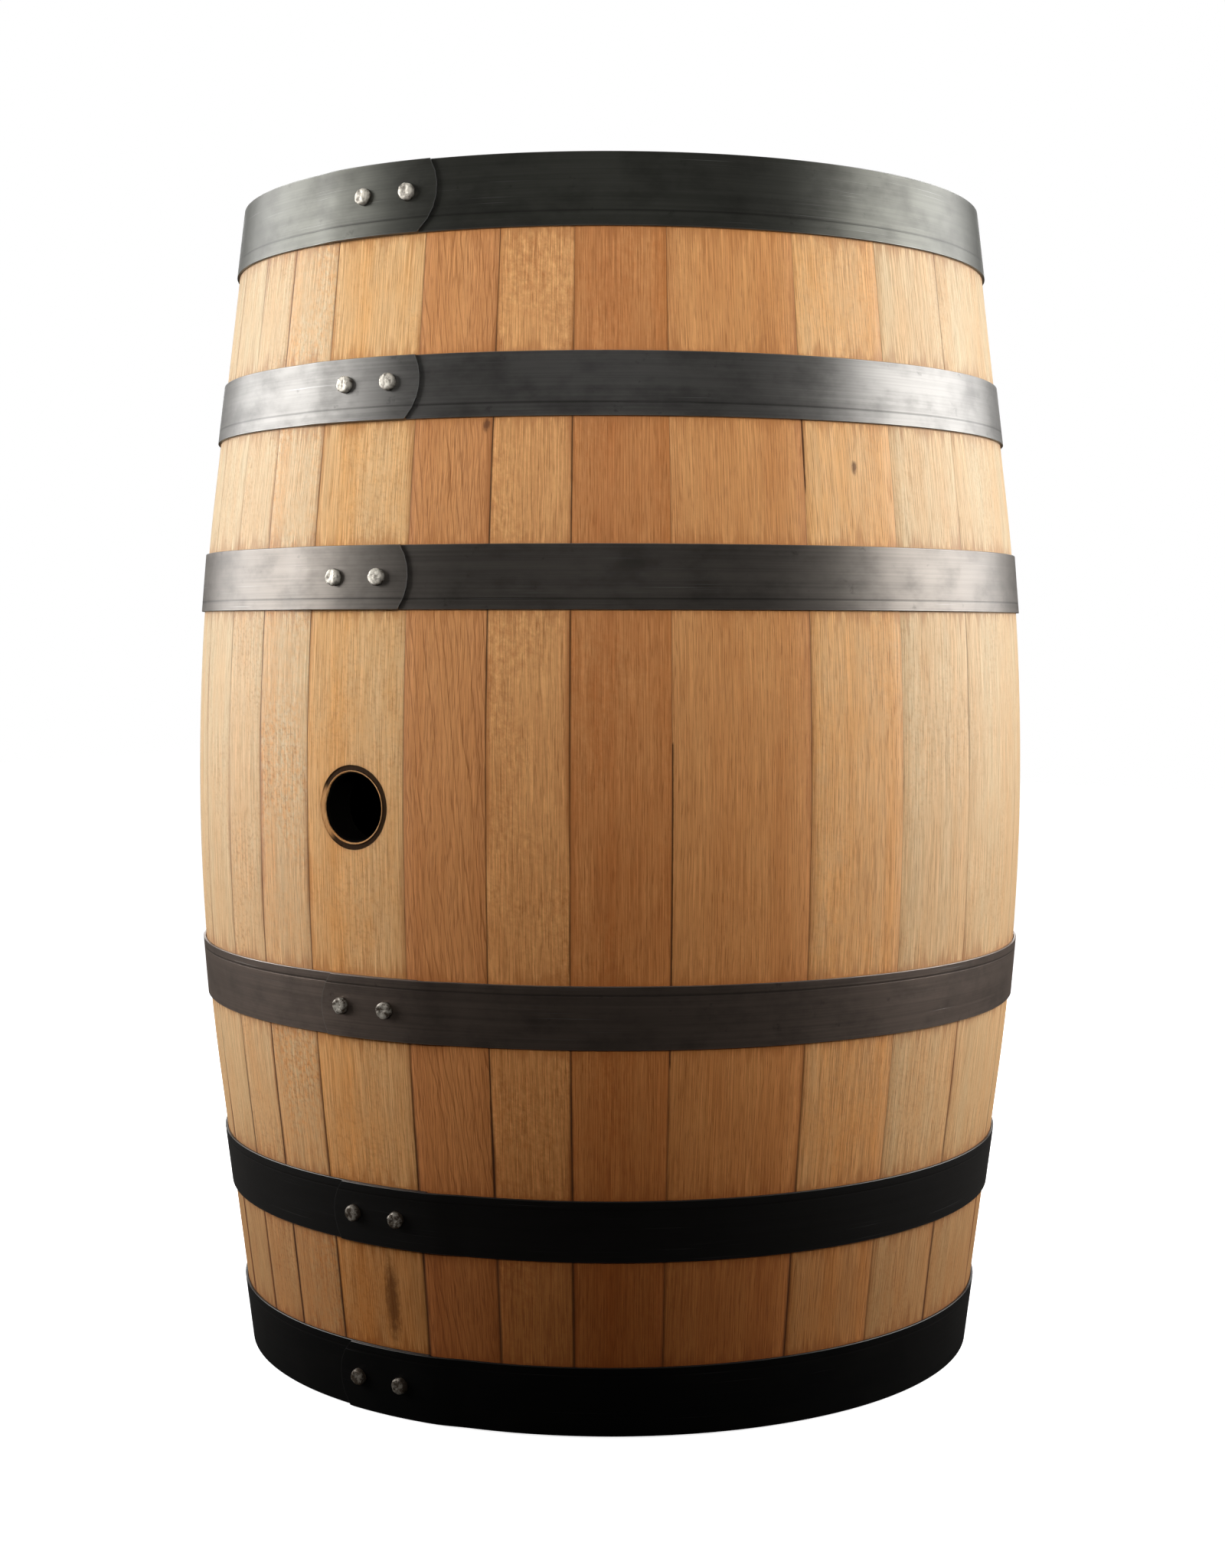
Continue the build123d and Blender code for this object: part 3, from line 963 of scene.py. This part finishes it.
def hoopBlank(name, width):
    soft, thick, half = hoop["edgeRound"], hoop["thickness"], width / 2
    levels = [half * share for share in (-0.66, -0.33, 0.0, 0.33, 0.66)]
    levels = [-half, -half + soft] + levels + [half - soft, half]
    last = len(levels) - 1
    inner = [(soft if i in (0, last) else 0.0, level) for i, level in enumerate(levels)]
    outer = [(thick - soft if i in (0, last) else thick, level) for i, level in enumerate(levels)]
    share, many, few = hoop["rowShare"], hoop["rows"], hoop["lapRows"]
    stops = [share * i / many for i in range(many)]
    stops += [share + (1 - share) * i / few for i in range(few + 1)]
    points, faces, rows = [], [], []
    for stop in stops:
        rows.append(list(range(len(points), len(points) + 2 * len(levels))))
        points += [(stop, deep, level) for deep, level in inner + outer[::-1]]
    for first, second in zip(rows, rows[1:]):
        bridge(faces, first, second, closed=True)
    for row in (rows[0], rows[-1]):
        bridge(faces, row[: last + 1], row[: last : -1])
    return blankMesh(name, points, faces)


rivet = {
    # radius and rise of each ring, from the hoop to the top of the head
    "profile": [
        (0.0064, -0.0002), (0.0066, 0.0004), (0.0064, 0.0014), (0.0064, 0.0028),
        (0.0062, 0.0037), (0.0057, 0.0043), (0.0050, 0.0046), (0.0036, 0.0047),
        (0.0024, 0.0046), (0.0012, 0.0046),
    ],
    "segments": 32,
    "hammering": 0.0009,
    "hammerScale": 330.0,
    "cloudScale": 260.0,
    "dentScale": 420.0,
    "colour": (0.74, 0.69, 0.60),
    "tarnishAndShadeColour": (0.075, 0.055, 0.038),
    "roughness": 0.36,
    "metallic": 0.45,
    "bump": 0.0005,
    "bumpStrength": 0.7,
}


def rivetMaterial():
    made, tree, shader = newMaterial("hammeredRivet")
    place = objectPlace(tree)
    height = place.xyz()[2]
    clouds = noise(tree, place, scale=rivet["cloudScale"], detail=4, roughness=0.65)
    dents = noise(tree, place, scale=rivet["dentScale"], detail=2)
    # the clouds are tarnish; the head is darker towards its rim on the hoop; the rivets low on the
    # barrel are darker still, as painted shade where the light falls off
    skirt = attribute(tree, "riseOfHead", "Fac").ramp(0.0004, 0.0026, 1.0, 0.0)
    lowRivetShade = height.ramp(0.05, 0.65, 0.95, 0.0)
    tarnishAndShade = (clouds.ramp(0.43, 0.66) * 0.9 + skirt * 0.7 + lowRivetShade).ramp(0.0, 1.3, smooth=False)
    colour = blendColours(tree, tarnishAndShade, rivet["colour"], rivet["tarnishAndShadeColour"])
    setFinish(tree, shader, colour, clouds * 0.25 + rivet["roughness"])
    shader.inputs["Metallic"].default_value = rivet["metallic"]
    addBump(tree, shader, dents + clouds * 0.4, rivet["bump"], rivet["bumpStrength"])
    return made


def axisTurn(tree, axis, angle):
    node = tree.nodes.new("FunctionNodeAxisAngleToRotation")
    node.inputs["Axis"].default_value = axis
    plug(tree, angle, node.inputs["Angle"])
    return node.outputs[0]


def turnAfter(tree, first, second):
    node = tree.nodes.new("FunctionNodeRotateRotation")
    node.rotation_space = "GLOBAL"
    tree.links.new(first, node.inputs[0])
    tree.links.new(second, node.inputs[1])
    return node.outputs[0]


def buildRivetTree():
    # one head, set at both places of the lap, then dented each in its own way
    tree, ins, end = newTree(
        "setRivets",
        "GeometryNodeTree",
        [
            ("Geometry", "Geometry", None),
            ("Middle Angle", "Float", 0.0),
            ("Spacing", "Float", hoop["rivetSpacing"]),
            ("Radius", "Float", 0.34),
            ("Height", "Float", 0.5),
            ("Tilt", "Float", 0.0),
            ("Hammering", "Float", rivet["hammering"]),
            ("Seed", "Int", 1),
            ("Material", "Material", None),
        ],
        [("Geometry", "Geometry")],
    )
    geometry = store(tree, ins["Geometry"].socket, "riseOfHead", position(tree).xyz()[2])
    line = tree.nodes.new("GeometryNodeMeshLine")
    line.inputs["Count"].default_value = 2
    index = Field(tree, tree.nodes.new("GeometryNodeInputIndex").outputs[0])
    angle = ins["Middle Angle"] + (index - 0.5) * ins["Spacing"] / ins["Radius"]
    places = roundBarrel(tree, angle, ins["Radius"], ins["Height"])
    spots = setPlace(tree, line.outputs[0], places)
    spin = tree.nodes.new("FunctionNodeRandomValue")
    plug(tree, ins["Seed"], spin.inputs["Seed"])
    lowest, highest = [socket for socket in spin.inputs if socket.type == "VALUE"][:2]
    lowest.default_value, highest.default_value = 0.0, 2 * pi
    about = Field(tree, [socket for socket in spin.outputs if socket.type == "VALUE"][0])
    # the head points up in the blank: spun, stood outwards and leaned back with the wall,
    # then turned round the barrel
    spun = axisTurn(tree, (0, 0, 1), about)
    stood = turnAfter(tree, spun, axisTurn(tree, (1, 0, 0), pi / 2 - ins["Tilt"]))
    placed = turnAfter(tree, stood, axisTurn(tree, (0, 0, 1), angle))
    copies = tree.nodes.new("GeometryNodeInstanceOnPoints")
    tree.links.new(spots, copies.inputs["Points"])
    tree.links.new(geometry, copies.inputs["Instance"])
    tree.links.new(placed, copies.inputs["Rotation"])
    real = tree.nodes.new("GeometryNodeRealizeInstances")
    tree.links.new(copies.outputs[0], real.inputs[0])
    # dents move along the surface normal
    shift = tree.nodes.new("GeometryNodeSetPosition")
    tree.links.new(real.outputs[0], shift.inputs["Geometry"])
    normal = tree.nodes.new("GeometryNodeInputNormal")
    blows = noise(tree, position(tree), scale=rivet["hammerScale"], detail=2) - 0.55
    push = tree.nodes.new("ShaderNodeVectorMath")
    push.operation = "SCALE"
    tree.links.new(normal.outputs[0], push.inputs[0])
    plug(tree, blows * ins["Hammering"] * 2, push.inputs["Scale"])
    tree.links.new(push.outputs[0], shift.inputs["Offset"])
    finishTree(tree, shift.outputs[0], ins["Material"], end, crisp=1.2)
    return tree


def rivetBlank(name):
    count = rivet["segments"]
    points, faces, previous = [], [], None
    for radius, rise in rivet["profile"]:
        ring = list(range(len(points), len(points) + count))
        for i in range(count):
            turn = 2 * pi * i / count
            points.append((radius * cos(turn), radius * sin(turn), rise))
        if previous:
            bridge(faces, previous, ring, closed=True)
        previous = ring
    points += [(0, 0, rivet["profile"][-1][1]), (0, 0, rivet["profile"][0][1])]
    top, bottom = len(points) - 2, len(points) - 1
    for i in range(count):
        j = (i + 1) % count
        faces += [(previous[i], previous[j], top), (j, i, bottom)]
    return blankMesh(name, points, faces)


def makeHoops():
    hoopTree, rivetTree, hammered = buildHoopTree(), buildRivetTree(), rivetMaterial()
    for number, name in enumerate(hoopNames):
        side, reach, tipRise, rivetRise, shift = hoop["laps"][name]
        colour, scratches, crease = hoop["looksWithShade"][name]
        height, width = hoopHeight(name), hoopWidth(name)
        radius, tilt = wallRadius(height), wallTilt(height)
        seed = 3.0 + 7 * number
        material = steelMaterial(name + "_steel", {
            "Colour": colour, "Scratches": scratches, "Crease": crease,
            "Seed": seed, "Half Width": width / 2,
        })
        piece = hoopBlank(name + "_strip", width)
        growPiece(piece, hoopTree, {
            "Start Angle": (shift - side * hoop["lapTail"]) / radius,
            "Side": float(side), "Radius": radius, "Height": height, "Tilt": tilt,
            "Lap Length": hoop["lapTail"] + hoop["rivetSpacing"] / 2 + reach,
            "Tip Rise": tipRise, "Seed": seed, "Material": material,
        })
        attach(piece, "root")
        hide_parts(name + "_hoop")
        out = wall["hoopPlay"] + 2 * hoop["thickness"]
        heads = rivetBlank(name + "_studs")
        growPiece(heads, rivetTree, {
            "Middle Angle": shift / radius,
            "Radius": radius + out * cos(tilt) - rivetRise * sin(tilt),
            "Height": height + out * sin(tilt) + rivetRise * cos(tilt),
            "Tilt": tilt, "Seed": number + 1, "Material": hammered,
        })
        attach(heads, "root")
        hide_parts(name + "_rivets")
    print("hoops and rivets made:", len(hoopNames))


head = {
    "tones": (0.44, 0.65, 0.52, 0.74, 0.48, 0.60),
    "boardTint": (0.92, 0.87, 0.77),
    "look": {
        "Redness": 0.1, "Wave": 0.016, "Rings": 0.4, "Ring Spacing": 0.0042,
        "Pores": 0.5, "Flecks": 0.45, "Mottle": 0.2,
    },
    "boardShift": 0.37,  # how far apart in the wood two boards are cut, and the two heads
    "headShift": 3.1,
    "gloss": 0.35,
    "bump": 0.00022,
    "bumpStrength": 0.8,
    "rushDark": (0.20, 0.16, 0.07),
    "rushLight": (0.52, 0.44, 0.22),
    "rushRoughness": 0.8,
    "dowelTone": 0.4,
}


def boardMaterial(name):
    number = int(name[-1])
    made, tree, shader = newMaterial(name + "_oak")
    x, y, z = objectPlace(tree).xyz()
    shift = number * head["boardShift"] + (head["headShift"] if name.startswith("top") else 0.0)
    grain = useGroup(tree, oakGroup, {
        "Place": vector(tree, y, z, x + shift), "Seed": number * 5.3,
        "Tone": head["tones"][number - 1], **head["look"],
    })
    low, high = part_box(name)
    gap = ((high.y - y).do("MINIMUM", y - low.y)).do("MAXIMUM", 0.0)
    # 2 m up is well above the hoops and the bottom of the barrel, so none of the stains and
    # painted shade there reach the boards
    stain = useGroup(tree, stainAndShadeGroup, {
        "Colour": grain["Colour"], "Place": vector(tree, y, 0.0, x + shift + 2.0),
        "Gap": gap, "Seed": number * 2.1,
    })
    # the boards are drawn a little darker and warmer all over
    boardTint = blendColours(tree, 1.0, stain["Colour"], head["boardTint"], "MULTIPLY")
    setFinish(tree, shader, boardTint, grain["Roughness"])
    shader.inputs["Specular IOR Level"].default_value = head["gloss"]
    addBump(tree, shader, grain["Height"], head["bump"], head["bumpStrength"])
    return made


def rushMaterial():
    made, tree, shader = newMaterial("driedRush")
    x, y, z = objectPlace(tree).xyz()
    blades = noise(tree, vector(tree, x * 14, y * 600, z * 600), detail=2)
    colour = blendColours(tree, blades, head["rushDark"], head["rushLight"])
    setFinish(tree, shader, colour, head["rushRoughness"])
    return made


def dowelMaterial():
    made, tree, shader = newMaterial("dowelWood")
    x, y, z = objectPlace(tree).xyz()
    grain = useGroup(tree, oakGroup, {
        "Place": vector(tree, x, z, y), "Tone": head["dowelTone"], "Seed": 2.0,
    })
    setFinish(tree, shader, grain["Colour"], grain["Roughness"])
    return made


def dressHeads():
    # the heads keep their CAD shapes
    rush, dowels = rushMaterial(), dowelMaterial()
    for name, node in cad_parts.items():
        if "_board_" in name:
            material = boardMaterial(name)
        elif name.endswith("_rush_strips"):
            material = rush
        elif name.endswith("_dowels"):
            material = dowels
        else:
            continue
        node.data.materials.clear()
        node.data.materials.append(material)
    print("heads dressed")


view = {
    "azimuth": 33.2, "distance": 2.037, "height": 0.604,
    "pitch": -3.744, "roll": 0.105, "yaw": 0.057,
    "lens": 54.11, "sensor": 36.0,
}

# azimuth from the camera's own, height, distance, the panel's width and height,
# power, spread and the height that it aims at
panels = {
    "leftPanel": (-100, 1.00, 1.9, 2.0, 1.3, 18.8, 110, 0.45),
    "rightPanel": (98, 1.05, 1.9, 2.0, 1.3, 20.5, 110, 0.54),
    "frontPanel": (-4, 1.5, 2.4, 1.6, 1.0, 5.6, 50, 0.96),
    "backPanel": (180, 1.7, 2.4, 2.2, 1.4, 20, 120, 0.7),
    "topPanel": (0, 2.9, 0.0, 1.4, 1.4, 4.6, 150, 0.9),
}
studio = {
    "world": 0.045,
    "backdrop": 1.0,
    "floorSize": 14.0,
    "floorGlow": 0.8,
    "floorSeen": (0.95, 0.95, 0.95),
    "floorBounce": (0.03, 0.028, 0.025),  # what the floor throws back on the barrel
}


def cameraRay(tree):
    return Field(tree, tree.nodes.new("ShaderNodeLightPath").outputs["Is Camera Ray"])


def makeCamera():
    data = bpy.data.cameras.new("camera")
    data.lens, data.sensor_width = view["lens"], view["sensor"]
    camera = bpy.data.objects.new("camera", data)
    scene.collection.objects.link(camera)
    pitch, roll, yaw = radians(view["pitch"]), radians(view["roll"]), radians(view["yaw"])
    ahead = Vector((sin(yaw) * cos(pitch), cos(yaw) * cos(pitch), sin(pitch)))
    right = Vector((cos(yaw), -sin(yaw), 0))
    up = right.cross(ahead)
    right, up = right * cos(roll) + up * sin(roll), up * cos(roll) - right * sin(roll)
    turn = Matrix.Rotation(radians(view["azimuth"]), 4, "Z")
    pose = Matrix((right, up, -ahead)).transposed().to_4x4()
    pose.translation = (0, -view["distance"], view["height"])
    camera.matrix_world = turn @ pose
    scene.camera = camera


def makeLights():
    for name, values in panels.items():
        azimuth, height, distance, width, depth, power, spread, target = values
        light = bpy.data.lights.new(name, "AREA")
        light.spread = radians(spread)
        light.shape, light.energy = "RECTANGLE", power
        light.size, light.size_y = width, depth
        lamp = bpy.data.objects.new(name, light)
        scene.collection.objects.link(lamp)
        spot = radians(view["azimuth"] + azimuth)
        lamp.location = (distance * sin(spot), -distance * cos(spot), height)
        lamp.visible_camera = False
        lamp.visible_glossy = name != "frontPanel"  # the fill light leaves no glare on the hoops
        aim = Vector((0, 0, target)) - lamp.location
        lamp.rotation_euler = aim.to_track_quat("-Z", "Y").to_euler()


def makeWorld():
    # the camera sees a white backdrop, and the barrel is lit by a dim one
    world = bpy.data.worlds.new("studio")
    world.use_nodes = True
    scene.world = world
    tree = world.node_tree
    background = tree.nodes["Background"]
    background.inputs["Color"].default_value = (1, 1, 1, 1)
    strength = cameraRay(tree) * (studio["backdrop"] - studio["world"]) + studio["world"]
    tree.links.new(strength.socket, background.inputs["Strength"])


def makeFloor():
    half = studio["floorSize"] / 2
    corners = [(-half, -half, 0), (half, -half, 0), (half, half, 0), (-half, half, 0)]
    floor = blankMesh("floor", corners, [(0, 1, 2, 3)])
    made, tree, shader = newMaterial("paleFloor")
    seen = cameraRay(tree)
    tone = blendColours(tree, seen, studio["floorBounce"], studio["floorSeen"])
    setFinish(tree, shader, tone, 0.9)
    shader.inputs["Specular IOR Level"].default_value = 0.1
    shader.inputs["Emission Color"].default_value = (1, 1, 1, 1)
    x, y, z = objectPlace(tree).xyz()
    glow = (x * x + y * y).do("SQRT").ramp(0.3, 1.5, studio["floorGlow"], 1.0)
    tree.links.new((seen * glow).socket, shader.inputs["Emission Strength"])
    floor.data.materials.append(made)


makeCamera()
makeLights()
makeWorld()
makeFloor()
print("studio made")
makeStaves()
makeHoops()
dressHeads()
